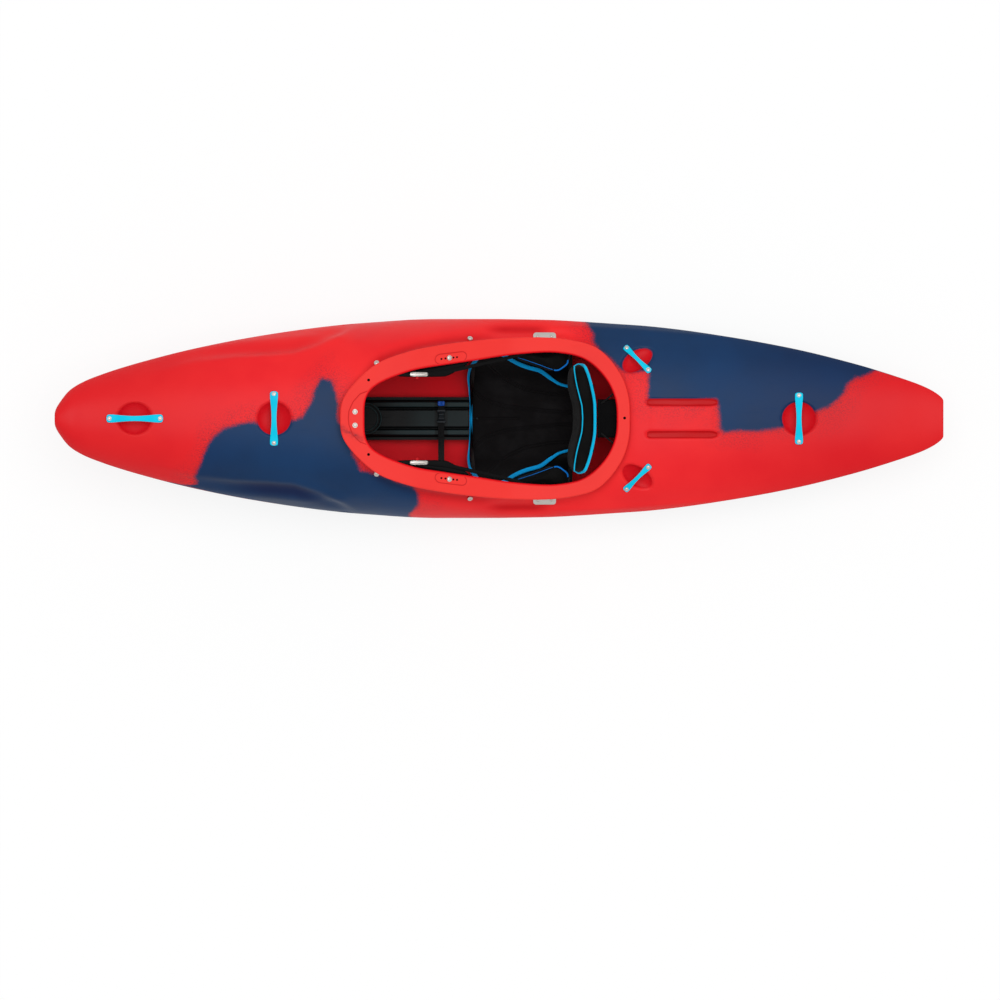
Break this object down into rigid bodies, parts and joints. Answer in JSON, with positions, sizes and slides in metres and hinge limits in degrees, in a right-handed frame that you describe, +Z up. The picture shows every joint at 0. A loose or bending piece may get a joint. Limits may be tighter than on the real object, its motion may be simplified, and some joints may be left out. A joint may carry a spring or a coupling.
{
  "type": "whitewater kayak",
  "caption": "Short hard-shell whitewater kayak in red and dark blue with cyan grab handles, raised cockpit rim, padded seat, hip pads, backband and sliding footplates.",
  "frame": {"origin": "centre of the footprint box, on the level of the flat bottom", "axes": "+X towards the stern, +Y to starboard, +Z up"},
  "size_m": [2.738, 0.613, 0.4174],
  "materials": {
    "shell": "satin moulded polyethylene, red with dark blue zones",
    "rim": "satin moulded polyethylene",
    "handle": "moulded rubbery plastic",
    "steel": "stainless",
    "black": "matte moulded plastic",
    "foam": "closed-cell foam",
    "cloth": "neoprene and webbing",
    "rope": "braided cord",
    "anchor": "moulded plastic"
  },
  "bodies": {
    "shell": {"hull": "shell", "deck_bow": "shell", "deck_front": "shell", "deck_middle": "shell", "deck_rear": "shell", "deck_stern": "shell", "cockpit_rim": "rim", "bow_handle": "handle", "bow_handle_bolt_a": "steel", "bow_handle_bolt_b": "steel", "front_deck_handle": "handle", "front_deck_handle_bolt_a": "steel", "front_deck_handle_bolt_b": "steel", "rear_handle_left": "handle", "rear_handle_left_bolt_a": "steel", "rear_handle_left_bolt_b": "steel", "rear_handle_right": "handle", "rear_handle_right_bolt_a": "steel", "rear_handle_right_bolt_b": "steel", "stern_handle": "handle", "stern_handle_bolt_a": "steel", "stern_handle_bolt_b": "steel", "rim_front_bolt_left": "steel", "rim_front_bolt_right": "steel", "rim_slot_bolt_left": "steel", "rim_slot_bolt_right": "steel", "deck_bolt_front_left": "steel", "deck_bolt_front_right": "steel", "deck_bolt_middle_left": "steel", "deck_bolt_middle_right": "steel", "side_plate_left": "steel", "side_plate_right": "steel", "front_pillar": "foam", "rear_pillar": "foam", "centre_tray": "black", "tray_strap": "cloth", "strap_buckle": "black", "strap_anchor": "anchor", "seat_pan": "black", "seat_pad": "cloth", "hip_pad_left": "cloth", "hip_pad_right": "cloth", "backband_cord_left": "rope", "backband_cord_right": "rope", "thigh_brace_left": "black", "thigh_brace_right": "black", "ratchet_left": "steel", "ratchet_right": "steel", "ladder_strap_left": "black", "ladder_strap_right": "black", "foot_rail_left": "steel", "foot_rail_right": "steel"},
    "backrest": {"backband": "cloth", "backband_frame": "black"},
    "left_footrest": {"footplate_left": "black", "footplate_foam_left": "foam"},
    "right_footrest": {"footplate_right": "black", "footplate_foam_right": "foam"},
    "left_lever": {"ratchet_lever_left": "steel"},
    "right_lever": {"ratchet_lever_right": "steel"}
  },
  "joints": [
    {"name": "backrest_tilt", "type": "hinge", "parent": "shell", "child": "backrest", "pos_m": [0.2815, 0, 0.04], "axis": [0, 1, 0], "range_deg": [-4, 2]},
    {"name": "left_footrest_slide", "type": "slide", "parent": "shell", "child": "left_footrest", "axis": [0.986, -0.1667, 0], "range_m": [-0.025, 0.1]},
    {"name": "right_footrest_slide", "type": "slide", "parent": "shell", "child": "right_footrest", "axis": [0.986, 0.1667, 0], "range_m": [-0.025, 0.1]},
    {"name": "left_lever_lift", "type": "hinge", "parent": "shell", "child": "left_lever", "pos_m": [-0.222, -0.13525, 0.3615], "axis": [0, 1, 0], "range_deg": [0, 60]},
    {"name": "right_lever_lift", "type": "hinge", "parent": "shell", "child": "right_lever", "pos_m": [-0.222, 0.13525, 0.3615], "axis": [0, 1, 0], "range_deg": [0, 60]}
  ]
}
